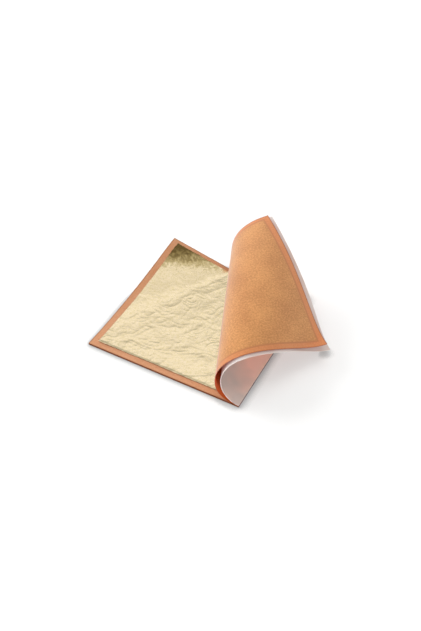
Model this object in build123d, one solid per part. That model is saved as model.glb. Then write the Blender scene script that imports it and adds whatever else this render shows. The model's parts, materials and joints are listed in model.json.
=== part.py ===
"""Booklet of gold leaf, lying open: square rouged tissues with a gold leaf on each, between two covers.

Millimetres. +Z is up and the booklet lies on the plane z = 0. The origin is the middle of the pages, on
the underside of the back cover. The spine runs along Y at +X, and the pages open towards -X.

Every sheet is bent without stretching. A bend is a fan of straight rulings that meet at one apex in the
plane of the flat page. The sheet is flat between two rulings and folds a little at each of them. The far
free corner of the whole block is raised. The front cover, the first leaf and the first tissue are turned
over to the right, and curl as they go.
"""

import os
from dataclasses import dataclass
from math import atan2, cos, degrees, hypot, radians, sin

from build123d import *

# Sheets
LEAF_SIDE = 80.0
LEAF_MARGIN = 3.0
LEAF_COUNT = 25
# Each leaf lies a little nearer to the spine and the far edge, by these shares of its margin.
LEAF_SHIFT_shares = (0.25, 0.15)
TISSUE_THICKNESS = 0.03
LEAF_THICKNESS = 0.002
COVER_THICKNESS = 0.25
GLUE_DEPTH = 0.12

# Raised corner of the block: the apex is on the far edge, and the first ruling runs to the fore edge.
CORNER_APEX_share = 0.535
CORNER_START_share = 0.093
CORNER_BEND_shares = (0.95, -0.61)
CORNER_FACETS = 12

# Curl of the turned sheets: each apex lies right of the spine and in front of the near edge.
# A sheet lies flat from the spine to its first ruling, which crosses the far edge at the flat width.
# Bend shares are the degrees of fold for each degree of fan, at even steps from the first ruling on.
TISSUE_FLAT = 33.2
TISSUE_APEX_shares = (0.6495, 1.9568)
TISSUE_BEND_shares = (12.8, 22.3, 21.5, 10.2, 6.4, 2.9, -1.7, -24.8)
COVER_APEX_OFFSET_shares = (0.1273, 0.1259)
COVER_START_AHEAD = 0.6
COVER_BEND_shares = (18.7, 19.8, 26.1, 11.1, 3.5, 4.7, 0.9, -22.7)
CURL_FACETS = 36

# Corners of one outline nearer than this share of a page are the same corner.
SAME_POINT_share = 1e-7

# Places that follow from the sizes
PAGE_SIDE = LEAF_SIDE + 2 * LEAF_MARGIN
SPINE_X = PAGE_SIDE / 2
FORE_X = -PAGE_SIDE / 2
NEAR_Y = -PAGE_SIDE / 2
FAR_Y = PAGE_SIDE / 2
PAIR_THICKNESS = TISSUE_THICKNESS + LEAF_THICKNESS
BLOCK_TOP = COVER_THICKNESS + (LEAF_COUNT - 1) * PAIR_THICKNESS
SAME_POINT = SAME_POINT_share * PAGE_SIDE


def square(side, centre_x, centre_y=0):
    """Corners of a flat square sheet, anticlockwise."""
    half = side / 2
    return [
        (centre_x - half, centre_y - half),
        (centre_x + half, centre_y - half),
        (centre_x + half, centre_y + half),
        (centre_x - half, centre_y + half),
    ]


def leaf_square(centre_x):
    """Corners of a flat leaf on a page with its middle at centre_x."""
    shift_x, shift_y = LEAF_SHIFT_shares
    return square(LEAF_SIDE, centre_x + shift_x * LEAF_MARGIN, shift_y * LEAF_MARGIN)


def side_of(point, start, angle):
    """How far a flat point lies on the anticlockwise side of a ruling. Angles run from +Y towards -X."""
    heading = radians(angle)
    across_x = point[0] - start[0]
    across_y = point[1] - start[1]
    return -sin(heading) * across_y - cos(heading) * across_x


def clipped(outline, start, angle, sense):
    """The part of a convex outline on one side of a ruling."""
    kept = []
    for first, second in zip(outline, outline[1:] + outline[:1]):
        from_side = sense * side_of(first, start, angle)
        to_side = sense * side_of(second, start, angle)
        if from_side >= -SAME_POINT:
            kept.append(first)
        if abs(from_side) > SAME_POINT and abs(to_side) > SAME_POINT and from_side * to_side < 0:
            part = from_side / (from_side - to_side)
            kept.append(
                (
                    first[0] + part * (second[0] - first[0]),
                    first[1] + part * (second[1] - first[1]),
                )
            )
    return kept


def outline_area(outline):
    """Area inside a flat outline."""
    crossed = [
        first[0] * second[1] - second[0] * first[1]
        for first, second in zip(outline, outline[1:] + outline[:1])
    ]
    return abs(sum(crossed)) / 2


def value_along(shares, part):
    """Straight-line value between evenly spaced shares, with part from 0 to 1."""
    place = part * (len(shares) - 1)
    step = min(int(place), len(shares) - 2)
    return shares[step] + (shares[step + 1] - shares[step]) * (place - step)


@dataclass
class Bend:
    """A fan of rulings about an apex. Its facets are flat, and fold at each ruling by the bend shares."""

    apex: tuple
    start_angle: float
    end_angle: float
    shares: tuple
    facets: int
    offset_square: bool

    def __post_init__(self):
        step = (self.end_angle - self.start_angle) / self.facets
        self.sense = 1 if step > 0 else -1
        self.angles = [self.start_angle + step * i for i in range(self.facets + 1)]
        origin = Vector(0, 0, 0)
        heading = Vector(0, 1, 0).rotate(Axis.Z, self.start_angle)
        normal = Vector(0, 0, 1)
        self.headings = [heading]
        self.normals = [normal]
        for i in range(self.facets):
            fold = value_along(self.shares, i / self.facets) * step
            normal = normal.rotate(Axis(origin, heading), fold)
            heading = heading.rotate(Axis(origin, normal), step)
            self.headings.append(heading)
            self.normals.append(normal)

    def facet_outlines(self, outline):
        """[(facet number, its flat outline)], with facet 0 the flat sheet before the first ruling."""
        found = []
        for number in range(self.facets + 1):
            piece = clipped(outline, self.apex, self.angles[number], -self.sense)
            if number:
                piece = clipped(piece, self.apex, self.angles[number - 1], self.sense)
            if len(piece) > 2 and outline_area(piece) > SAME_POINT * PAGE_SIDE:
                found.append((number, piece))
        return found

    def bent(self, point, facet):
        """A flat point, carried along by its facet."""
        ruling = min(facet, self.facets)
        normal = self.normals[facet]
        heading = self.headings[ruling]
        reach_x = point[0] - self.apex[0]
        reach_y = point[1] - self.apex[1]
        reach = hypot(reach_x, reach_y)
        turn = radians(degrees(atan2(-reach_x, reach_y)) - self.angles[ruling])
        # atan2 jumps by a whole turn, which sine and cosine don't see
        across = normal.cross(heading)
        return Vector(*self.apex, 0) + heading * (reach * cos(turn)) + across * (reach * sin(turn))

    def neighbours(self, point, facet):
        """Facets that share with this one the ruling on which a point lies."""
        met = set()
        for ruling, beyond in ((facet - 1, facet - 1), (facet, facet + 1)):
            if ruling < 0 or beyond > self.facets:
                continue
            if abs(side_of(point, self.apex, self.angles[ruling])) <= 2 * SAME_POINT:
                met.add(beyond)
        return met

    def lift(self, point, facet):
        """Direction in which a corner of a facet moves for each unit of thickness."""
        if not self.offset_square:
            return Vector(0, 0, 1)
        normal = self.normals[facet]
        for beyond in self.neighbours(point, facet):
            other = self.normals[beyond]
            return (normal + other) * (1 / (1 + normal.dot(other)))
        return normal


def flat_face(corners):
    """One flat face through its corners."""
    return Face(Wire.make_polygon(corners, close=True))


def bent_sheet(outline, bend, low, high):
    """A closed sheet over a flat outline, between two heights above the bent surface."""
    facets = bend.facet_outlines(outline)
    present = {number for number, _ in facets}
    faces = []
    for number, piece in facets:
        surface = [bend.bent(point, number) for point in piece]
        lifts = [bend.lift(point, number) for point in piece]
        under = [point + lift * low for point, lift in zip(surface, lifts)]
        over = [point + lift * high for point, lift in zip(surface, lifts)]
        faces += [flat_face(under), flat_face(over)]
        for i, first in enumerate(piece):
            j = (i + 1) % len(piece)
            met = bend.neighbours(first, number) & bend.neighbours(piece[j], number)
            if met & present:
                continue
            if (lifts[i] - lifts[j]).length > SAME_POINT:
                faces.append(flat_face([under[i], under[j], over[j]]))
                faces.append(flat_face([under[i], over[j], over[i]]))
            else:
                faces.append(flat_face([under[i], under[j], over[j], over[i]]))
    return Solid(Shell(faces))


def corner_bend():
    """The raised far free corner, which every sheet of the block shares."""
    apex = (SPINE_X - CORNER_APEX_share * PAGE_SIDE, FAR_Y)
    start_y = NEAR_Y + CORNER_START_share * PAGE_SIDE
    start_angle = degrees(atan2(apex[0] - FORE_X, start_y - apex[1]))
    end_angle = degrees(atan2(apex[0] - FORE_X, 0))
    return Bend(apex, start_angle, end_angle, CORNER_BEND_shares, CORNER_FACETS, False)


def curl_bend(apex_shares, start_x, bend_shares):
    """A curl whose first ruling crosses the far edge at start_x, and its last the near free corner."""
    apex_x = SPINE_X + apex_shares[0] * PAGE_SIDE
    apex_y = NEAR_Y - apex_shares[1] * PAGE_SIDE
    start_angle = degrees(atan2(apex_x - start_x, FAR_Y - apex_y))
    end_angle = degrees(atan2(apex_x - FORE_X, NEAR_Y - apex_y))
    return Bend((apex_x, apex_y), start_angle, end_angle, bend_shares, CURL_FACETS, True)


def tissue_curl():
    """The curl of the first tissue, with the first leaf on it."""
    return curl_bend(TISSUE_APEX_shares, SPINE_X - TISSUE_FLAT, TISSUE_BEND_shares)


def cover_curl():
    """The curl of the front cover, inside that of the tissue, which it leaves a little before."""
    apex_shares = [
        share + offset for share, offset in zip(TISSUE_APEX_shares, COVER_APEX_OFFSET_shares)
    ]
    start_x = SPINE_X - TISSUE_FLAT + COVER_START_AHEAD
    return curl_bend(apex_shares, start_x, COVER_BEND_shares)


def block_sheets():
    """The back cover, then each lower tissue with its leaf, from the bottom up.

    Their middles are the glue's depth away from those of the turned sheets.
    """
    page = square(PAGE_SIDE, -GLUE_DEPTH)
    leaf = leaf_square(-GLUE_DEPTH)
    sheets = {"back_cover": bent_sheet(page, BLOCK_BEND, 0, COVER_THICKNESS)}
    for number in range(LEAF_COUNT, 1, -1):
        low = COVER_THICKNESS + (LEAF_COUNT - number) * PAIR_THICKNESS
        middle = low + TISSUE_THICKNESS
        sheets[f"rouged_tissue_{number:02d}"] = bent_sheet(page, BLOCK_BEND, low, middle)
        sheets[f"gold_leaf_{number:02d}"] = bent_sheet(leaf, BLOCK_BEND, middle, middle + LEAF_THICKNESS)
    return sheets


def turned_sheets():
    """The first tissue, its leaf and the front cover, from the block up."""
    page = square(PAGE_SIDE, 0)
    leaf = leaf_square(0)
    tissue = tissue_curl()
    sheets = {
        "rouged_tissue_01": bent_sheet(page, tissue, 0, TISSUE_THICKNESS),
        "gold_leaf_01": bent_sheet(leaf, tissue, TISSUE_THICKNESS, PAIR_THICKNESS),
        "front_cover": bent_sheet(page, cover_curl(), PAIR_THICKNESS, PAIR_THICKNESS + COVER_THICKNESS),
    }
    return {name: Pos(0, 0, BLOCK_TOP) * sheet for name, sheet in sheets.items()}


def spine_glue():
    """The line of dried glue that holds the back edges of the block together."""
    height = BLOCK_TOP - LEAF_THICKNESS
    return Pos(SPINE_X - GLUE_DEPTH, 0, 0) * Box(
        GLUE_DEPTH,
        PAGE_SIDE,
        height,
        align=(Align.MIN, Align.CENTER, Align.MIN),
    )


BLOCK_BEND = corner_bend()


def main():
    """Write one file for each sheet, and one for the glue."""
    os.makedirs("parts", exist_ok=True)
    pieces = {**block_sheets(), **turned_sheets(), "spine_glue": spine_glue()}
    for name, shape in pieces.items():
        export_step(shape, f"parts/{name}.step")
    near_corner = pieces["front_cover"].bounding_box()
    print(f"{len(pieces)} pieces, block {BLOCK_TOP:.3f} high, cover reaches {near_corner.max.X:.2f} in X")


if __name__ == "__main__":
    main()
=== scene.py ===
"""Looks of the open booklet of gold leaf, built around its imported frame.

Sizes are written in millimetres and turned to metres when a mesh is made. The axes are the frame's own:
+Z is up, the booklet lies on z = 0, and its spine runs along Y at +X.
"""

import json
import logging
from dataclasses import dataclass, field
from enum import Enum
from math import atan2, cos, degrees, hypot, radians, sin
from typing import Any, Callable, Optional

import bmesh
import bpy
from mathutils import Matrix, Vector, noise

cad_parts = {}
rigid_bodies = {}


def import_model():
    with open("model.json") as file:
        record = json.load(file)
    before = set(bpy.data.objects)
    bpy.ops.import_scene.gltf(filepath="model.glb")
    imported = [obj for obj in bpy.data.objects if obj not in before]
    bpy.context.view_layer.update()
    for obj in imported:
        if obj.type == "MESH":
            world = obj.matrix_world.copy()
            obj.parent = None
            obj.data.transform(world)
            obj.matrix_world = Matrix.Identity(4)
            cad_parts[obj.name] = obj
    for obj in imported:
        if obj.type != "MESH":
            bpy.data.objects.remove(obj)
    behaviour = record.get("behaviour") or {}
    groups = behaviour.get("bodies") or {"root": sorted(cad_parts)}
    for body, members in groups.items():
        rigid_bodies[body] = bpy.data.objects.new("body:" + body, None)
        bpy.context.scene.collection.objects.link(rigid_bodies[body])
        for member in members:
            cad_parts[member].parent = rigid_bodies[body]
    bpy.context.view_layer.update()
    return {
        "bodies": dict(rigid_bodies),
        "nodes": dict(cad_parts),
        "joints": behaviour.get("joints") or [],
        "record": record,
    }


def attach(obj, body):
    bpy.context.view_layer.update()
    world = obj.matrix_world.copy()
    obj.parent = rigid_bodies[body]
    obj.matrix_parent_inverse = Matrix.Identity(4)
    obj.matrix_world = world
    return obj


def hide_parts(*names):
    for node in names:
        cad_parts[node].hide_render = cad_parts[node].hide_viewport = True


LOG = logging.getLogger("gold_leaf_booklet")
MM = 0.001


class Body(Enum):
    """The bodies of the frame."""

    BLOCK = "block"
    TURNED = "turned_sheets"
    BARE_LEAF = "bare_leaf"


class Slot(Enum):
    """The record's material slots of the pieces that are built here."""

    GOLD = "gold_leaf"
    TISSUE = "rouged_tissue"
    COVER = "cover_paper"


# Colours and nodes


def linear(colour: str) -> tuple[float, float, float, float]:
    """Turn an sRGB hex colour to linear red, green, blue and alpha.

    Args:
        colour: A hex colour such as "#E0A040".

    Returns:
        The four linear values, with alpha 1.
    """
    parts = [int(colour[i : i + 2], 16) / 255 for i in (1, 3, 5)]
    curved = [p / 12.92 if p <= 0.04045 else ((p + 0.055) / 1.055) ** 2.4 for p in parts]
    return (curved[0], curved[1], curved[2], 1.0)


def add_node(
    tree: bpy.types.NodeTree,
    kind: str,
    inputs: Optional[dict] = None,
    stops: Optional[list[tuple[float, str]]] = None,
    **settings: Any,
) -> bpy.types.Node:
    """Add a node with its settings and links.

    Args:
        tree: The node tree to add to.
        kind: The node's type name.
        inputs: A value, a hex colour or another node's output, for each input name or number.
        stops: Places and hex colours of a colour ramp.
        **settings: The node's own properties.

    Returns:
        The new node.
    """
    made = tree.nodes.new(kind)
    for name, value in settings.items():
        setattr(made, name, value)
    for key, value in (inputs or {}).items():
        if isinstance(value, bpy.types.NodeSocket):
            tree.links.new(value, made.inputs[key])
        elif isinstance(value, str):
            made.inputs[key].default_value = linear(value)
        else:
            made.inputs[key].default_value = value
    if stops:
        elements = made.color_ramp.elements
        while len(elements) < len(stops):
            elements.new(0.5)
        for element, (place, colour) in zip(elements, stops):
            element.position = place
            element.color = linear(colour)
    return made


def new_material(name: str) -> bpy.types.Material:
    """Make an empty node material.

    Args:
        name: The material's name.

    Returns:
        The material, with no nodes in it.
    """
    made = bpy.data.materials.new(name)
    made.use_nodes = True
    made.node_tree.nodes.clear()
    return made


# Finishes


@dataclass(frozen=True)
class RougedTissue:
    """Tissue paper dusted with iron oxide rouge: matt, orange, with a fine cloudy grain.

    Where a leaf lies behind it, the thin tissue lets the gold's golden brown through, with a painted
    shadow line along the leaf's edge. A darker line along the cut edges is painted shadow, for the shade in
    the gap beside each edge. The grain is drawn coarser than real fibres, so that it shows.
    """

    name: str
    rouge: str = "#CB9067"
    rouge_worn: str = "#D39E79"
    rouge_thick: str = "#BF8155"
    through: str = "#F08434"
    gold_behind: str = "#D79D58"
    gold_behind_dark: str = "#AE7637"
    leaf_shadow_line: str = "#B4703C"
    rim: str = "#9C6440"
    rim_width: float = 0.75
    line_fade: tuple[float, float] = (0.3, 0.9)
    leaf_fade: tuple[float, float] = (-0.6, 0.2)
    shows_leaf: bool = False
    page_side: float = 86.0
    leaf_side: float = 80.0
    grain: float = 0.9
    grain_depth: float = 0.02
    clouds: float = 14.0
    cloud_share: float = 0.3
    roughness: float = 0.85
    fuzz: float = 0.45
    fuzz_tint: str = "#FFF6F0"
    glow: float = 0.15
    leaf_centre: tuple[float, float] = (43.75, 43.45)

    def make(self) -> bpy.types.Material:
        """Make the material.

        Returns:
            The finished material.
        """
        material = new_material(self.name)
        tree = material.node_tree
        page = add_node(tree, "ShaderNodeUVMap", uv_map="page")
        flat_mm = add_node(
            tree,
            "ShaderNodeMapping",
            {0: page.outputs[0], "Scale": (self.page_side, self.page_side, 1.0)},
        )
        fine = add_node(
            tree,
            "ShaderNodeTexNoise",
            {"Vector": flat_mm.outputs[0], "Scale": 1 / self.grain, "Detail": 3.0, "Roughness": 0.65},
        )
        broad = add_node(
            tree,
            "ShaderNodeTexNoise",
            {"Vector": flat_mm.outputs[0], "Scale": 1 / self.clouds, "Detail": 2.0, "Roughness": 0.5},
        )
        both = add_node(
            tree,
            "ShaderNodeMix",
            {0: self.cloud_share, 2: fine.outputs[0], 3: broad.outputs[0]},
            data_type="FLOAT",
        )
        rouged = add_node(
            tree,
            "ShaderNodeValToRGB",
            {0: both.outputs[0]},
            [(0.32, self.rouge_thick), (0.5, self.rouge), (0.68, self.rouge_worn)],
        )
        colour = rouged.outputs[0]
        if self.shows_leaf:
            colour = self.leaf_behind(tree, flat_mm, both, colour)
        # Painted shadow: a darker line along the cut edges, for the shade in the gap beside each edge.
        half = self.page_side / 2
        within = self.square_share(tree, flat_mm, (half, half), (half - self.rim_width, half))
        rimmed = add_node(
            tree,
            "ShaderNodeMix",
            {0: within, 6: self.rim, 7: colour},
            data_type="RGBA",
        )
        colour = rimmed.outputs[2]
        relief = add_node(
            tree,
            "ShaderNodeBump",
            {"Strength": 0.25, "Distance": self.grain_depth * MM, "Height": fine.outputs[0]},
        )
        surface = add_node(
            tree,
            "ShaderNodeBsdfPrincipled",
            {
                "Base Color": colour,
                "Roughness": self.roughness,
                "Normal": relief.outputs[0],
                "Sheen Weight": self.fuzz,
                "Sheen Roughness": 0.5,
                "Sheen Tint": self.fuzz_tint,
            },
        )
        glow = add_node(tree, "ShaderNodeBsdfTranslucent", {"Color": self.through})
        mixed = add_node(
            tree,
            "ShaderNodeMixShader",
            {0: self.glow, 1: surface.outputs[0], 2: glow.outputs[0]},
        )
        add_node(tree, "ShaderNodeOutputMaterial", {0: mixed.outputs[0]})
        return material

    def leaf_behind(
        self,
        tree: bpy.types.NodeTree,
        flat_mm: bpy.types.Node,
        grain: bpy.types.Node,
        colour: bpy.types.NodeSocket,
    ) -> bpy.types.NodeSocket:
        """Let the leaf's square show through the tissue, with a painted shadow line along its edge.

        Args:
            tree: The material's node tree.
            flat_mm: Node that gives the place on the flat page in millimetres.
            grain: Node that gives the tissue's grain.
            colour: The rouge's colour.

        Returns:
            The colour of the tissue with the leaf behind it.
        """
        half = self.leaf_side / 2
        line_ends = (half + self.line_fade[0], half + self.line_fade[1])
        leaf_ends = (half + self.leaf_fade[0], half + self.leaf_fade[1])
        # Painted shadow: a darker line just outside the leaf's edge.
        leaf_shadow_share = self.square_share(tree, flat_mm, self.leaf_centre, line_ends)
        inside = self.square_share(tree, flat_mm, self.leaf_centre, leaf_ends)
        lined = add_node(
            tree,
            "ShaderNodeMix",
            {0: leaf_shadow_share, 6: colour, 7: self.leaf_shadow_line},
            data_type="RGBA",
        )
        golden = add_node(
            tree,
            "ShaderNodeValToRGB",
            {0: grain.outputs[0]},
            [(0.4, self.gold_behind_dark), (0.6, self.gold_behind)],
        )
        seen = add_node(
            tree,
            "ShaderNodeMix",
            {0: inside, 6: lined.outputs[2], 7: golden.outputs[0]},
            data_type="RGBA",
        )
        return seen.outputs[2]

    def square_share(
        self,
        tree: bpy.types.NodeTree,
        flat_mm: bpy.types.Node,
        centre: tuple[float, float],
        fade: tuple[float, float],
    ) -> bpy.types.NodeSocket:
        """Tell the inside of a square on the page from its outside, with a soft outline.

        Args:
            tree: The material's node tree.
            flat_mm: Node that gives the place on the flat page in millimetres.
            centre: The square's middle.
            fade: Half sides at which the outline starts and ends.

        Returns:
            A share that is 1 inside and 0 outside.
        """
        centred = add_node(
            tree,
            "ShaderNodeVectorMath",
            {0: flat_mm.outputs[0], 1: (centre[0], centre[1], 0.0)},
            operation="SUBTRACT",
        )
        folded = add_node(tree, "ShaderNodeVectorMath", {0: centred.outputs[0]}, operation="ABSOLUTE")
        places = add_node(tree, "ShaderNodeSeparateXYZ", {0: folded.outputs[0]})
        reach = add_node(
            tree,
            "ShaderNodeMath",
            {0: places.outputs[0], 1: places.outputs[1]},
            operation="MAXIMUM",
        )
        inside = add_node(
            tree,
            "ShaderNodeMapRange",
            {0: reach.outputs[0], 1: fade[0], 2: fade[1], 3: 1.0, 4: 0.0},
            interpolation_type="SMOOTHSTEP",
        )
        return inside.outputs[0]


@dataclass(frozen=True)
class CutTissueEdge:
    """Guillotined tissue edges, stacked tight: rouge and painted gap shade make a dark red-brown line."""

    name: str = "guillotined_tissue_edge"
    dark: str = "#5E2814"
    light: str = "#8A4524"
    streak: float = 3.0

    def make(self) -> bpy.types.Material:
        """Make the material.

        Returns:
            The finished material.
        """
        material = new_material(self.name)
        tree = material.node_tree
        place = add_node(tree, "ShaderNodeTexCoord")
        streaks = add_node(
            tree,
            "ShaderNodeTexNoise",
            {"Vector": place.outputs["Object"], "Scale": 1 / (self.streak * MM), "Detail": 3.0},
        )
        colour = add_node(
            tree,
            "ShaderNodeValToRGB",
            {0: streaks.outputs[0]},
            [(0.35, self.dark), (0.65, self.light)],
        )
        surface = add_node(
            tree,
            "ShaderNodeBsdfPrincipled",
            {"Base Color": colour.outputs[0], "Roughness": 0.9},
        )
        add_node(tree, "ShaderNodeOutputMaterial", {0: surface.outputs[0]})
        return material


@dataclass(frozen=True)
class BeatenGoldLeaf:
    """Gold beaten to a leaf: a pale, soft mirror, crinkled because it is too thin to lie smooth.

    The creases are in the mesh, and the bump adds the finer ones. The raised corner mirrors something dark,
    which is given here as a deeper gold past a wavy fold, so that it stays in its place from every side.
    """

    name: str = "beaten_gold_leaf"
    gold: str = "#FEEBC7"
    gold_low: str = "#F3DFB0"
    roughness: float = 0.2
    wrinkle: float = 1.1
    wrinkle_depth: float = 0.03
    painted_corner_reflection: bool = False
    corner_fold: tuple[float, float] = (-39.0, 19.5)
    corner_run: float = 32.0
    corner_length: float = 15.0
    corner_waver: float = 14.0
    corner_wave: float = 3.0

    def make(self) -> bpy.types.Material:
        """Make the material.

        Returns:
            The finished material.
        """
        material = new_material(self.name)
        tree = material.node_tree
        place = add_node(tree, "ShaderNodeTexCoord")
        fine = add_node(
            tree,
            "ShaderNodeTexNoise",
            {
                "Vector": place.outputs["Object"],
                "Scale": 1 / (self.wrinkle * MM),
                "Detail": 4.0,
                "Distortion": 1.2,
            },
        )
        relief = add_node(
            tree,
            "ShaderNodeBump",
            {"Strength": 0.5, "Distance": self.wrinkle_depth * MM, "Height": fine.outputs[0]},
        )
        colour = add_node(
            tree,
            "ShaderNodeValToRGB",
            {0: fine.outputs[0]},
            [(0.3, self.gold_low), (0.6, self.gold)],
        )
        gold = colour.outputs[0]
        # Painted reflection: the raised corner mirrors something dark, given as deeper gold.
        if self.painted_corner_reflection:
            gold = self.paint_corner_reflection(tree, place.outputs["Object"], gold)
        surface = add_node(
            tree,
            "ShaderNodeBsdfPrincipled",
            {
                "Base Color": gold,
                "Metallic": 1.0,
                "Roughness": self.roughness,
                "Normal": relief.outputs[0],
            },
        )
        add_node(tree, "ShaderNodeOutputMaterial", {0: surface.outputs[0]})
        return material

    def paint_corner_reflection(
        self,
        tree: bpy.types.NodeTree,
        place: bpy.types.NodeSocket,
        gold: bpy.types.NodeSocket,
    ) -> bpy.types.NodeSocket:
        """Paint the raised corner's dark reflection as a deeper gold, in uneven streaks.

        Args:
            tree: The material's node tree.
            place: The place on the leaf, in metres.
            gold: The plain gold's colour.

        Returns:
            The colour with the deeper corner.
        """
        run = radians(self.corner_run)
        across = (-sin(run), cos(run), 0.0)
        start = self.corner_fold[0] * across[0] + self.corner_fold[1] * across[1]
        distance = add_node(tree, "ShaderNodeVectorMath", {0: place, 1: across}, operation="DOT_PRODUCT")
        waves = add_node(
            tree,
            "ShaderNodeTexNoise",
            {"Vector": place, "Scale": 1 / (self.corner_wave * MM), "Detail": 4.0, "Distortion": 1.5},
        )
        waver = add_node(
            tree,
            "ShaderNodeMath",
            {0: waves.outputs[0], 1: self.corner_waver * MM, 2: distance.outputs["Value"]},
            operation="MULTIPLY_ADD",
        )
        past = add_node(
            tree,
            "ShaderNodeMapRange",
            {
                0: waver.outputs[0],
                1: (start + self.corner_waver / 2) * MM,
                2: (start + self.corner_waver / 2 + self.corner_length) * MM,
                3: 0.0,
                4: 1.0,
            },
        )
        tone = add_node(
            tree,
            "ShaderNodeValToRGB",
            {0: past.outputs[0]},
            [(0.0, "#FFFFFF"), (0.3, "#D2CDB6"), (0.55, "#A1987A"), (0.8, "#716548")],
        )
        deeper = add_node(
            tree,
            "ShaderNodeMix",
            {0: 1.0, 6: gold, 7: tone.outputs[0]},
            data_type="RGBA",
            blend_type="MULTIPLY",
        )
        return deeper.outputs[2]


@dataclass(frozen=True)
class CoverPaper:
    """Calendered cover paper: smooth, pale grey with a pink cast from the rouge that rubs off on it.

    On the turned cover's face inside the curl, pink bounce light from the orange tissue is painted in,
    growing from the near edge towards the far one. The fibres are drawn coarser than real ones, so that
    they show.
    """

    name: str = "calendered_cover_paper"
    pale: str = "#DCD2CE"
    rub_and_bounce_tint: str = "#D3BBB0"
    painted_bounce: bool = False
    bounce_run: tuple[float, float] = (0.03, 0.27)
    bounce_shift: tuple[float, float] = (0.15, -0.2)
    clouds: float = 22.0
    fibre: float = 0.5
    fibre_depth: float = 0.02
    glow: float = 0.15

    def make(self) -> bpy.types.Material:
        """Make the material.

        Returns:
            The finished material.
        """
        material = new_material(self.name)
        tree = material.node_tree
        place = add_node(tree, "ShaderNodeTexCoord")
        broad = add_node(
            tree,
            "ShaderNodeTexNoise",
            {"Vector": place.outputs["Object"], "Scale": 1 / (self.clouds * MM), "Detail": 2.0},
        )
        fibres = add_node(
            tree,
            "ShaderNodeTexNoise",
            {"Vector": place.outputs["Object"], "Scale": 1 / (self.fibre * MM), "Detail": 3.0},
        )
        paleness = broad.outputs[0]
        # Painted bounce light: this face turns pinker towards the far edge.
        if self.painted_bounce:
            page = add_node(tree, "ShaderNodeUVMap", uv_map="page")
            along = add_node(tree, "ShaderNodeSeparateXYZ", {0: page.outputs[0]})
            nearness = add_node(
                tree,
                "ShaderNodeMapRange",
                {
                    0: along.outputs[1],
                    1: self.bounce_run[0],
                    2: self.bounce_run[1],
                    3: self.bounce_shift[0],
                    4: self.bounce_shift[1],
                },
            )
            paleness = add_node(
                tree,
                "ShaderNodeMath",
                {0: paleness, 1: nearness.outputs[0]},
                operation="ADD",
            ).outputs[0]
        colour = add_node(
            tree,
            "ShaderNodeValToRGB",
            {0: paleness},
            [(0.35, self.rub_and_bounce_tint), (0.6, self.pale)],
        )
        relief = add_node(
            tree,
            "ShaderNodeBump",
            {"Strength": 0.15, "Distance": self.fibre_depth * MM, "Height": fibres.outputs[0]},
        )
        surface = add_node(
            tree,
            "ShaderNodeBsdfPrincipled",
            {"Base Color": colour.outputs[0], "Roughness": 0.5, "Normal": relief.outputs[0]},
        )
        glow = add_node(tree, "ShaderNodeBsdfTranslucent", {"Color": colour.outputs[0]})
        mixed = add_node(
            tree,
            "ShaderNodeMixShader",
            {0: self.glow, 1: surface.outputs[0], 2: glow.outputs[0]},
        )
        add_node(tree, "ShaderNodeOutputMaterial", {0: mixed.outputs[0]})
        return material


@dataclass(frozen=True)
class DriedGlue:
    """Brushed binding glue, dried dark: a dull purple-brown skin with brush ridges along the spine."""

    name: str = "brushed_binding_glue"
    dark: str = "#4C2022"
    light: str = "#683230"
    ridge: float = 2.0
    ridge_depth: float = 0.04

    def make(self) -> bpy.types.Material:
        """Make the material.

        Returns:
            The finished material.
        """
        material = new_material(self.name)
        tree = material.node_tree
        place = add_node(tree, "ShaderNodeTexCoord")
        ridges = add_node(
            tree,
            "ShaderNodeTexNoise",
            {"Vector": place.outputs["Object"], "Scale": 1 / (self.ridge * MM), "Detail": 3.0},
        )
        colour = add_node(
            tree,
            "ShaderNodeValToRGB",
            {0: ridges.outputs[0]},
            [(0.35, self.dark), (0.65, self.light)],
        )
        relief = add_node(
            tree,
            "ShaderNodeBump",
            {"Strength": 0.4, "Distance": self.ridge_depth * MM, "Height": ridges.outputs[0]},
        )
        surface = add_node(
            tree,
            "ShaderNodeBsdfPrincipled",
            {"Base Color": colour.outputs[0], "Roughness": 0.55, "Normal": relief.outputs[0]},
        )
        add_node(tree, "ShaderNodeOutputMaterial", {0: surface.outputs[0]})
        return material


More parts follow.
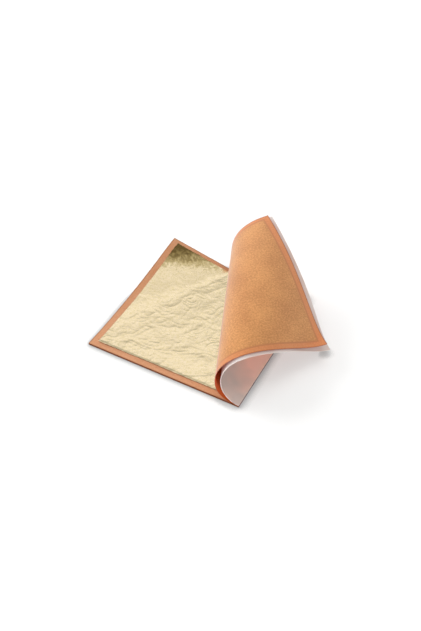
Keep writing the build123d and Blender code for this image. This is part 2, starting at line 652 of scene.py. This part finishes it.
@dataclass(frozen=True)
class StudioFloor:
    """White paper sweep. It shows white to the camera and keeps the booklet's soft shadow.

    The thin block casts next to no shadow in soft light, so the sweep is dimmed close to its edges.
    """

    name: str = "white_paper_sweep"
    white: str = "#DCDCDC"
    lift: float = 0.22
    contact_reach: float = 4.5
    contact_fall: float = 12.0
    contact_depth: float = 0.38

    def make(self) -> bpy.types.Material:
        """Make the material.

        Returns:
            The finished material.
        """
        material = new_material(self.name)
        tree = material.node_tree
        near = add_node(tree, "ShaderNodeAmbientOcclusion", {"Distance": self.contact_reach * MM})
        open_share = add_node(
            tree,
            "ShaderNodeMath",
            {0: near.outputs["AO"], 1: self.contact_fall},
            operation="POWER",
        )
        contact = add_node(
            tree,
            "ShaderNodeMath",
            {0: open_share.outputs[0], 1: self.contact_depth, 2: 1 - self.contact_depth},
            operation="MULTIPLY_ADD",
        )
        white = add_node(
            tree,
            "ShaderNodeMix",
            {0: contact.outputs[0], 6: "#000000", 7: self.white},
            data_type="RGBA",
        )
        paper = add_node(tree, "ShaderNodeBsdfDiffuse", {"Color": white.outputs[2]})
        rays = add_node(tree, "ShaderNodeLightPath")
        seen = add_node(
            tree,
            "ShaderNodeMath",
            {0: rays.outputs["Is Camera Ray"], 1: rays.outputs["Is Glossy Ray"]},
            operation="MAXIMUM",
        )
        seen_through = add_node(
            tree,
            "ShaderNodeMath",
            {0: seen.outputs[0], 1: rays.outputs["Is Transmission Ray"]},
            operation="MAXIMUM",
        )
        strength = add_node(
            tree,
            "ShaderNodeMath",
            {0: seen_through.outputs[0], 1: self.lift},
            operation="MULTIPLY",
        )
        dimmed = add_node(
            tree,
            "ShaderNodeMath",
            {0: strength.outputs[0], 1: contact.outputs[0]},
            operation="MULTIPLY",
        )
        lift = add_node(tree, "ShaderNodeEmission", {"Color": "#FFFFFF", "Strength": dimmed.outputs[0]})
        added = add_node(tree, "ShaderNodeAddShader", {0: paper.outputs[0], 1: lift.outputs[0]})
        add_node(tree, "ShaderNodeOutputMaterial", {0: added.outputs[0]})
        return material


# Sheets


def value_along(shares: tuple[float, ...], part: float) -> float:
    """Give the straight-line value between evenly spaced shares.

    Args:
        shares: The values at even steps.
        part: The place along them, from 0 to 1.

    Returns:
        The value there.
    """
    place = part * (len(shares) - 1)
    step = min(int(place), len(shares) - 2)
    return shares[step] + (shares[step + 1] - shares[step]) * (place - step)


def eased(value: float) -> float:
    """Ease a value from 0 to 1, and hold it outside."""
    held = max(0.0, min(1.0, value))
    return held * held * (3 - 2 * held)


@dataclass
class FanBend:
    """A fan of straight rulings about an apex in the flat page's plane, where the sheet folds a little.

    Angles run from +Y towards -X, in degrees. The shares are degrees of fold for each degree of fan. Each
    ruling of the solid is split, so that the sheet looks smooth and still follows it.
    """

    apex: tuple[float, float]
    start_angle: float
    end_angle: float
    shares: tuple[float, ...]
    rulings: int
    upright: bool
    split: int = 8
    first_angle: float = field(init=False)
    step: float = field(init=False)
    headings: list[Vector] = field(init=False)
    normals: list[Vector] = field(init=False)

    def __post_init__(self) -> None:
        """Work out each facet's heading and normal."""
        self.step = (self.end_angle - self.start_angle) / self.rulings / self.split
        self.first_angle = self.start_angle - self.step * (self.split - 1) / 2
        heading = Matrix.Rotation(radians(self.first_angle), 3, "Z") @ Vector((0, 1, 0))
        normal = Vector((0, 0, 1))
        self.headings = [heading]
        self.normals = [normal]
        for i in range(self.rulings * self.split):
            fold = value_along(self.shares, (i // self.split) / self.rulings) * self.step
            normal = Matrix.Rotation(radians(fold), 3, heading) @ normal
            heading = Matrix.Rotation(radians(self.step), 3, normal) @ heading
            self.headings.append(heading)
            self.normals.append(normal)

    def beyond(self, x: float, y: float) -> float:
        """Give how far round the fan a flat point lies.

        Args:
            x: Its place across the page.
            y: Its place along the spine.

        Returns:
            The angle from the first ruling, in degrees.
        """
        angle = degrees(atan2(self.apex[0] - x, y - self.apex[1]))
        turned = (angle - self.first_angle + 180) % 360 - 180
        return turned if self.step > 0 else -turned

    def past_first(self, x: float, y: float) -> float:
        """Give how far past the first ruling a flat point lies, in millimetres."""
        return hypot(x - self.apex[0], y - self.apex[1]) * sin(radians(self.beyond(x, y)))

    def place(self, x: float, y: float, height: float) -> Vector:
        """Carry a flat point along with the bent sheet.

        Args:
            x: Its place across the page.
            y: Its place along the spine.
            height: Its height above the bent surface.

        Returns:
            The bent place, in millimetres above the block's own level.
        """
        round_fan = self.beyond(x, y)
        last = len(self.normals) - 1
        facet = max(0, min(last, int(round_fan // abs(self.step)) + 1))
        reach = hypot(x - self.apex[0], y - self.apex[1])
        left = round_fan - facet * abs(self.step)
        turn = radians(left if self.step > 0 else -left)
        heading = self.headings[facet]
        normal = self.normals[facet]
        across = normal.cross(heading)
        flat = Vector((self.apex[0], self.apex[1], 0.0))
        lifted = Vector((0, 0, height)) if self.upright else normal * height
        return flat + heading * (reach * cos(turn)) + across * (reach * sin(turn)) + lifted


@dataclass(frozen=True)
class PageSizes:
    """Sizes of the booklet, in millimetres, as in its solids."""

    leaf_side: float = 80.0
    leaf_margin: float = 3.0
    leaf_shift: tuple[float, float] = (0.75, 0.45)
    leaves: int = 25
    tissue: float = 0.03
    leaf: float = 0.002
    cover: float = 0.25
    glue: float = 0.12
    corner_apex: float = 0.535
    corner_start: float = 0.093
    corner_folds: tuple[float, float] = (0.95, -0.61)
    corner_rulings: int = 12
    curl_rulings: int = 36

    @property
    def page_side(self) -> float:
        """Side of a page."""
        return self.leaf_side + 2 * self.leaf_margin

    @property
    def pair(self) -> float:
        """Thickness of a tissue with its leaf."""
        return self.tissue + self.leaf

    @property
    def block_top(self) -> float:
        """Height of the block's top leaf."""
        return self.cover + (self.leaves - 1) * self.pair

    def corner(self) -> FanBend:
        """Bend of the block's raised far free corner.

        Returns:
            The bend.
        """
        half = self.page_side / 2
        apex = (half - self.corner_apex * self.page_side, half)
        start_y = -half + self.corner_start * self.page_side
        start_angle = degrees(atan2(apex[0] + half, start_y - half))
        end_angle = degrees(atan2(apex[0] + half, 0))
        return FanBend(apex, start_angle, end_angle, self.corner_folds, self.corner_rulings, True)

    def curl(
        self,
        apex_shares: tuple[float, float],
        flat: float,
        shares: tuple[float, ...],
    ) -> FanBend:
        """Bend of a turned sheet.

        Args:
            apex_shares: The apex, in page sides right of the spine and in front of the near edge.
            flat: How wide the sheet lies flat along the far edge.
            shares: Degrees of fold for each degree of fan.

        Returns:
            The bend.
        """
        half = self.page_side / 2
        apex = (half + apex_shares[0] * self.page_side, -half - apex_shares[1] * self.page_side)
        start_angle = degrees(atan2(apex[0] - half + flat, half - apex[1]))
        end_angle = degrees(atan2(apex[0] + half, -half - apex[1]))
        return FanBend(apex, start_angle, end_angle, shares, self.curl_rulings, False)

    def tissue_curl(self) -> FanBend:
        """Bend of the turned tissue and its leaf."""
        return self.curl((0.6495, 1.9568), 33.2, (12.8, 22.3, 21.5, 10.2, 6.4, 2.9, -1.7, -24.8))

    def cover_curl(self) -> FanBend:
        """Bend of the turned cover, inside the tissue's."""
        return self.curl((0.7768, 2.0827), 32.6, (18.7, 19.8, 26.1, 11.1, 3.5, 4.7, 0.9, -22.7))


@dataclass
class Sheet:
    """One thin sheet: a grid that is bent by a fan, then given its thickness.

    Its outline strays a little from the straight cut, in long and in short waves.
    """

    name: str
    node: str
    body: Body
    slot: Slot
    bend: FanBend
    side: float
    middle: tuple[float, float]
    page_middle: float
    level: float
    thickness: float
    page_side: float
    cells: int = 110
    base: float = 0.0
    waver: float = 0.0
    long_wave: float = 9.0
    short_wave: float = 2.0
    relief: Optional[Callable[[float, float], float]] = None

    def edge_shift(self, x: float, y: float) -> tuple[float, float]:
        """Give how far a point of the outline strays from the straight cut.

        Args:
            x: Its place across the page.
            y: Its place along the spine.

        Returns:
            The shift in x and in y, in millimetres.
        """
        seed = self.level * 37.0
        across = along = 0.0
        for wave, share in ((self.long_wave, 1.0), (self.short_wave, 0.5)):
            across += share * noise.noise(Vector((x / wave, y / wave, seed)))
            along += share * noise.noise(Vector((y / wave, seed, x / wave)))
        return across * self.waver, along * self.waver

    def build(self, materials: list[bpy.types.Material]) -> bpy.types.Object:
        """Make the sheet and set it on its body.

        Args:
            materials: The face's material, the other face's if it differs, and the cut edge's.

        Returns:
            The finished piece.
        """
        bm = bmesh.new()
        bmesh.ops.create_grid(bm, x_segments=self.cells, y_segments=self.cells, size=self.side / 2)
        bmesh.ops.translate(bm, verts=bm.verts, vec=(self.middle[0], self.middle[1], 0))
        page_map = bm.loops.layers.uv.new("page")
        for face in bm.faces:
            face.smooth = True
            for corner in face.loops:
                place = corner.vert.co
                corner[page_map].uv = (
                    (place.x - self.page_middle) / self.page_side + 0.5,
                    place.y / self.page_side + 0.5,
                )
        for edge in bm.edges:
            edge.smooth = not edge.is_boundary
        for vert in bm.verts:
            x, y = vert.co.x, vert.co.y
            if vert.is_boundary and self.waver:
                shift = self.edge_shift(x, y)
                x, y = x + shift[0], y + shift[1]
            height = self.base + (self.relief(x, y) if self.relief else 0.0)
            vert.co = (self.bend.place(x, y, height) + Vector((0, 0, self.level))) * MM
        mesh = bpy.data.meshes.new(self.name)
        bm.to_mesh(mesh)
        bm.free()
        made = bpy.data.objects.new(self.name, mesh)
        bpy.context.scene.collection.objects.link(made)
        for material in materials:
            mesh.materials.append(material)
        wall = made.modifiers.new("thickness", "SOLIDIFY")
        wall.thickness = self.thickness * MM
        wall.offset = 1.0
        wall.use_even_offset = False
        wall.material_offset = 1 if len(materials) > 2 else 0
        wall.material_offset_rim = len(materials) - 1
        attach(made, self.body.value)
        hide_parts(self.node)
        LOG.info("%s: %d faces, on %s", self.name, len(mesh.polygons), self.body.value)
        return made


@dataclass
class Creases:
    """Relief of the bare leaf: long wavy folds, fine crinkles and a rippled corner, in millimetres.

    The folds run at a slant across the leaf. They fade where the turned sheets lie flat on it.
    """

    cover_bend: FanBend
    run_angle: float = 28.4
    fade: float = 7.0
    fade_start: float = 0.5
    warp_scale: tuple[float, float] = (13.0, 13.0)
    warp_reach: float = 12.0
    broad_scale: tuple[float, float] = (13.0, 7.0)
    fold_scale: tuple[float, float] = (7.0, 4.2)
    second_scale: tuple[float, float] = (4.0, 2.8)
    fine_scale: tuple[float, float] = (1.6, 0.9)
    broad_height: float = 0.28
    fold_height: float = 0.12
    fine_height: float = 0.02
    near_lift: float = 0.2
    lift_run: float = 1.4
    near_deeper: float = 0.3
    deeper_start: float = 20.0
    deeper_run: float = 50.0
    corner_fold: tuple[float, float] = (-39.0, 25.0)
    corner_run: float = 32.0
    ripple: float = 2.8
    ripple_height: float = 0.26
    ripple_crest: float = 0.88
    ripple_warp: float = 0.7
    ripple_warp_scale: tuple[float, float] = (9.0, 9.0)
    ripple_run: float = 4.0
    near_edge: float = -39.55

    def height(self, x: float, y: float) -> float:
        """Give the relief at a place.

        Args:
            x: The place across the page.
            y: The place along the spine.

        Returns:
            The height above the tissue.
        """
        free = eased((self.cover_bend.past_first(x, y) - self.fade_start) / self.fade)
        if free <= 0:
            return 0.0
        run = radians(self.run_angle)
        along = x * cos(run) + y * sin(run)
        across = y * cos(run) - x * sin(run)
        warp = self.wave(along, across, self.warp_scale, 3.1) * self.warp_reach
        broad = self.wave(along - warp, across + warp, self.broad_scale, 7.7)
        fold = 1 - abs(self.wave(along + warp, across + warp, self.fold_scale, 1.3)) * 2
        second = 1 - abs(self.wave(along - warp, across - warp, self.second_scale, 9.4)) * 2
        fine = self.wave(along, across, self.fine_scale, 5.2)
        height = (
            self.broad_height * (0.5 + 0.5 * broad)
            + self.fold_height * max(0.0, fold) ** 2 * (0.4 + 0.6 * abs(broad))
            + 0.5 * self.fold_height * max(0.0, second) ** 2 * (0.3 + 0.7 * abs(warp) / 4)
            + self.fine_height * (0.5 + 0.5 * fine)
        )
        deeper = 1 + self.near_deeper * eased((self.deeper_start - y) / self.deeper_run)
        lifted = self.near_lift * eased(1 - (y - self.near_edge) / self.lift_run)
        return free * (height * deeper + lifted) + self.corner_ripple(x, y)

    def wave(self, along: float, across: float, scale: tuple[float, float], seed: float) -> float:
        """Give smooth noise, stretched along and across the folds."""
        return noise.noise(Vector((along / scale[0], across / scale[1], seed)))

    def corner_ripple(self, x: float, y: float) -> float:
        """Give the height of the ripples at the raised corner.

        Args:
            x: The place across the page.
            y: The place along the spine.

        Returns:
            The height, which is 0 before the corner's fold.
        """
        run = radians(self.corner_run)
        past_fold = (y - self.corner_fold[1]) * cos(run) - (x - self.corner_fold[0]) * sin(run)
        if past_fold <= 0:
            return 0.0
        warp = self.wave(x, y, self.ripple_warp_scale, 2.4) * self.ripple_warp
        part = (past_fold / self.ripple + warp) % 1.0
        crest = self.ripple_crest
        rise = part / crest if part < crest else (1 - part) / (1 - crest)
        return self.ripple_height * rise * eased(past_fold / self.ripple_run)


# Sub-assemblies


@dataclass
class Block:
    """The block of tissues and leaves on the back cover, glued along the spine."""

    sizes: PageSizes
    frame: dict
    top_cells: int = 150
    edge_cells: int = 44
    leaf_cells: int = 200
    edge_waver: float = 0.07
    leaf_waver: float = 0.22

    def build(self) -> None:
        """Build the tissues and the bare leaf, and dress the rest."""
        self.build_tissues()
        self.build_bare_leaf()
        self.build_back_cover()
        self.dress_kept_nodes()

    def build_tissues(self) -> None:
        """Build each tissue of the block, the top one with the finest grid."""
        sizes = self.sizes
        corner = sizes.corner()
        face = RougedTissue("rouged_tissue_paper").make()
        edge = CutTissueEdge().make()
        for number in range(sizes.leaves, 1, -1):
            Sheet(
                name=f"tissue_{number:02d}",
                node=f"rouged_tissue_{number:02d}",
                body=Body.BLOCK,
                slot=Slot.TISSUE,
                bend=corner,
                side=sizes.page_side,
                middle=(-sizes.glue, 0.0),
                page_middle=-sizes.glue,
                level=sizes.cover + (sizes.leaves - number) * sizes.pair,
                thickness=sizes.tissue,
                page_side=sizes.page_side,
                cells=self.top_cells if number == 2 else self.edge_cells,
                waver=self.edge_waver,
            ).build([face, edge])

    def build_bare_leaf(self) -> None:
        """Build the crinkled leaf that lies bare on the block."""
        sizes = self.sizes
        creases = Creases(sizes.tissue_curl())
        Sheet(
            name="bare_gold_leaf",
            node="gold_leaf_02",
            body=Body.BARE_LEAF,
            slot=Slot.GOLD,
            bend=sizes.corner(),
            side=sizes.leaf_side,
            middle=(sizes.leaf_shift[0] - sizes.glue, sizes.leaf_shift[1]),
            page_middle=-sizes.glue,
            level=sizes.block_top - sizes.leaf,
            thickness=sizes.leaf,
            page_side=sizes.page_side,
            cells=self.leaf_cells,
            waver=self.leaf_waver,
            relief=creases.height,
        ).build([BeatenGoldLeaf(painted_corner_reflection=True).make()])

    def build_back_cover(self) -> None:
        """Build the back cover, bent as the block is."""
        sizes = self.sizes
        Sheet(
            name="back_cover_sheet",
            node="back_cover",
            body=Body.BLOCK,
            slot=Slot.COVER,
            bend=sizes.corner(),
            side=sizes.page_side,
            middle=(-sizes.glue, 0.0),
            page_middle=-sizes.glue,
            level=0.0,
            thickness=sizes.cover,
            page_side=sizes.page_side,
        ).build(
            [
                CoverPaper("calendered_back_cover_paper").make(),
                CoverPaper("rouge_stain_cover_edge", "#8C4C2E", "#783E22").make(),
            ]
        )

    def dress_kept_nodes(self) -> None:
        """Give the hidden leaves and the spine's glue their finishes."""
        gold = BeatenGoldLeaf("beaten_gold_leaf_inside").make()
        glue = DriedGlue().make()
        for name, node in self.frame["nodes"].items():
            if name.startswith("gold_leaf_"):
                finish = gold
            elif name == "spine_glue":
                finish = glue
            else:
                continue
            node.data.materials.clear()
            node.data.materials.append(finish)


@dataclass
class TurnedSheets:
    """The front cover with the first tissue and leaf, turned over the spine and curling."""

    sizes: PageSizes
    cells: int = 150

    def build(self) -> None:
        """Build the tissue, its leaf and the cover."""
        sizes = self.sizes
        curl = sizes.tissue_curl()
        # On both faces, the darker line along the cut edges is painted shadow from the gap beside them.
        tissue = RougedTissue(
            "rouged_tissue_with_leaf_behind",
            rouge="#D08549",
            rouge_worn="#DA9256",
            rouge_thick="#C2763A",
            rim="#8C5230",
            shows_leaf=True,
            fuzz=0.9,
            glow=0.22,
        ).make()
        # Painted glow: the inner face's rouge is brighter and more orange, for light through the tissue.
        inner = RougedTissue(
            "rouged_tissue_inner_face_painted_glow",
            rouge="#F8943A",
            rouge_worn="#FFA24C",
            rouge_thick="#E8842A",
            rim="#D0742C",
            glow=0.65,
        ).make()
        edge = CutTissueEdge("guillotined_turned_edge", "#B5643A", "#C97B4C").make()
        common = {
            "body": Body.TURNED,
            "page_middle": 0.0,
            "level": sizes.block_top,
            "page_side": sizes.page_side,
            "cells": self.cells,
        }
        Sheet(
            name="turned_tissue",
            node="rouged_tissue_01",
            slot=Slot.TISSUE,
            bend=curl,
            side=sizes.page_side,
            middle=(0.0, 0.0),
            thickness=sizes.tissue,
            **common,
        ).build([inner, tissue, edge])
        # Painted reflection: this leaf is orange, for the glow of the lit tissue around it.
        Sheet(
            name="turned_gold_leaf",
            node="gold_leaf_01",
            slot=Slot.GOLD,
            bend=curl,
            side=sizes.leaf_side,
            middle=sizes.leaf_shift,
            thickness=sizes.leaf,
            base=sizes.tissue,
            **common,
        ).build([BeatenGoldLeaf("rouge_dusted_gold_leaf", "#FF9C54", "#F0883E", 0.8).make()])
        Sheet(
            name="turned_cover",
            node="front_cover",
            slot=Slot.COVER,
            bend=sizes.cover_curl(),
            side=sizes.page_side,
            middle=(0.0, 0.0),
            thickness=sizes.cover,
            base=sizes.pair,
            **common,
        ).build(
            [
                # Painted bounce light: this face's pink-grey and bright peach tones stand for light from
                # the tissue.
                CoverPaper("cover_paper_painted_bounce", "#D4C0B8", "#FFD5C5", True).make(),
                CoverPaper().make(),
                CoverPaper("trimmed_cover_edge", "#FBF2EC", "#F6E8DE").make(),
            ]
        )


@dataclass(frozen=True)
class Softbox:
    """A square softbox that faces the booklet: its place and side in metres, and its power in watts."""

    name: str
    place: tuple[float, float, float]
    side: float
    power: float

    def hang(self) -> None:
        """Hang the lamp. Gold doesn't mirror it, so that it stays a soft tone."""
        data = bpy.data.lights.new(self.name, "AREA")
        data.shape = "SQUARE"
        data.size = self.side
        data.energy = self.power
        lamp = bpy.data.objects.new(self.name, data)
        lamp.location = self.place
        lamp.visible_glossy = False
        lamp.rotation_mode = "QUATERNION"
        lamp.rotation_quaternion = Vector(self.place).to_track_quat("Z", "Y")
        bpy.context.scene.collection.objects.link(lamp)


@dataclass
class Studio:
    """White sweep, soft lamps and the camera.

    The camera's places and the gap under the booklet are in millimetres, and the sweep's half side is in
    metres.
    """

    target: tuple[float, float, float] = (2.17, 4.64, 1.018)
    distance: float = 373.4
    azimuth: float = 28.4
    elevation: float = 44.06
    lens: float = 39.94
    sensor: float = 36.0
    floor_half: float = 0.75
    floor_gap: float = 0.02
    world_light: float = 0.62
    softboxes: tuple[Softbox, ...] = (
        Softbox("overhead_softbox", (-0.25, 0.4, 1.5), 1.1, 7.0),
        Softbox("left_softbox", (-1.3, 0.15, 0.5), 0.8, 20.0),
        Softbox("front_softbox", (0.75, -1.15, 0.5), 0.7, 13.0),
        Softbox("back_softbox", (-0.45, 1.4, 0.3), 0.6, 12.0),
    )

    def build(self) -> None:
        """Build the floor, the world, the lamps and the camera."""
        self.build_camera()
        self.build_floor()
        self.build_world()
        for softbox in self.softboxes:
            softbox.hang()

    def build_camera(self) -> None:
        """Set the camera where the photograph was taken from."""
        turn = radians(self.azimuth)
        rise = radians(self.elevation)
        back = Vector((sin(turn) * cos(rise), -cos(turn) * cos(rise), sin(rise)))
        data = bpy.data.cameras.new("camera")
        data.sensor_width = self.sensor
        data.sensor_height = self.sensor
        data.lens = self.lens
        data.clip_start = 0.01
        data.clip_end = 50.0
        camera = bpy.data.objects.new("camera", data)
        camera.location = (Vector(self.target) + back * self.distance) * MM
        camera.rotation_mode = "QUATERNION"
        camera.rotation_quaternion = back.to_track_quat("Z", "Y")
        bpy.context.scene.collection.objects.link(camera)
        bpy.context.scene.camera = camera

    def build_floor(self) -> None:
        """Lay the white sweep just under the booklet."""
        bm = bmesh.new()
        bmesh.ops.create_grid(bm, x_segments=1, y_segments=1, size=self.floor_half)
        bmesh.ops.translate(bm, verts=bm.verts, vec=(0, 0, -self.floor_gap * MM))
        mesh = bpy.data.meshes.new("sweep")
        bm.to_mesh(mesh)
        bm.free()
        mesh.materials.append(StudioFloor().make())
        floor = bpy.data.objects.new("sweep", mesh)
        bpy.context.scene.collection.objects.link(floor)

    def build_world(self) -> None:
        """Surround the booklet with soft white light, uneven with height, so that creases in gold show."""
        world = bpy.data.worlds.new("studio")
        bpy.context.scene.world = world
        world.use_nodes = True
        tree = world.node_tree
        tree.nodes.clear()
        place = add_node(tree, "ShaderNodeTexCoord")
        split = add_node(tree, "ShaderNodeSeparateXYZ", {0: place.outputs["Generated"]})
        sky = add_node(
            tree,
            "ShaderNodeValToRGB",
            {0: split.outputs[2]},
            [
                (0.0, "#DADAD8"),
                (0.45, "#A8A8A3"),
                (0.62, "#D2D2CE"),
                (0.74, "#FFFFFF"),
                (0.82, "#FFFFFF"),
                (0.9, "#DAD9D3"),
                (0.96, "#FBFBFA"),
                (1.0, "#DAD9D2"),
            ],
        )
        rays = add_node(tree, "ShaderNodeLightPath")
        lit = add_node(
            tree,
            "ShaderNodeMapRange",
            {0: rays.outputs["Is Diffuse Ray"], 1: 0.0, 2: 1.0, 3: 1.0, 4: self.world_light},
        )
        seen = add_node(
            tree,
            "ShaderNodeMix",
            {0: rays.outputs["Is Camera Ray"], 6: sky.outputs[0], 7: "#FFFFFF"},
            data_type="RGBA",
        )
        light = add_node(
            tree,
            "ShaderNodeBackground",
            {"Color": seen.outputs[2], "Strength": lit.outputs[0]},
        )
        add_node(tree, "ShaderNodeOutputWorld", {0: light.outputs[0]})


def main() -> None:
    """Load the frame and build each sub-assembly."""
    logging.basicConfig(level=logging.INFO, format="%(message)s")
    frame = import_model()
    bpy.context.scene.view_settings.view_transform = "Standard"
    sizes = PageSizes()
    Studio().build()
    Block(sizes, frame).build()
    TurnedSheets(sizes).build()


if __name__ == "__main__":
    main()
